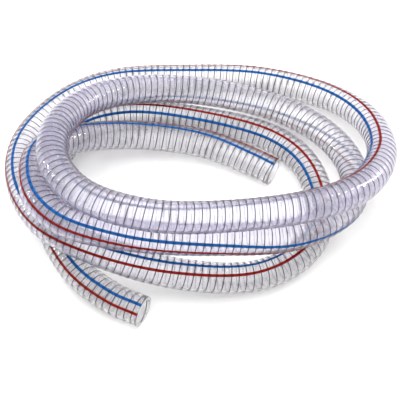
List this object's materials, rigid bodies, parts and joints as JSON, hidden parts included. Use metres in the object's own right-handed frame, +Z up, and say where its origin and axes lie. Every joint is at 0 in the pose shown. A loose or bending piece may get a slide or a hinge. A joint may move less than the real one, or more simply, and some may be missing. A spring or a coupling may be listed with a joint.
{
  "type": "steel wire spiral reinforced clear hose",
  "caption": "Clear flexible hose with a steel wire spiral and coloured tracer lines in its wall, lying in a loose coil with plain cut ends.",
  "frame": {"origin": "centre of the coil's bounding box on the floor", "axes": "+X along the coil's longest side, +Y away from the hose's outer cut end, +Z up from the floor"},
  "size_m": [0.6242, 0.5136, 0.19],
  "materials": {
    "clear_pvc": "clear glossy plasticised PVC, slightly violet, with a thin dark steel wire spiral and one blue and one red tracer line inside the wall"
  },
  "bodies": {
    "root": {"hose_wall": "clear_pvc"}
  },
  "joints": []
}
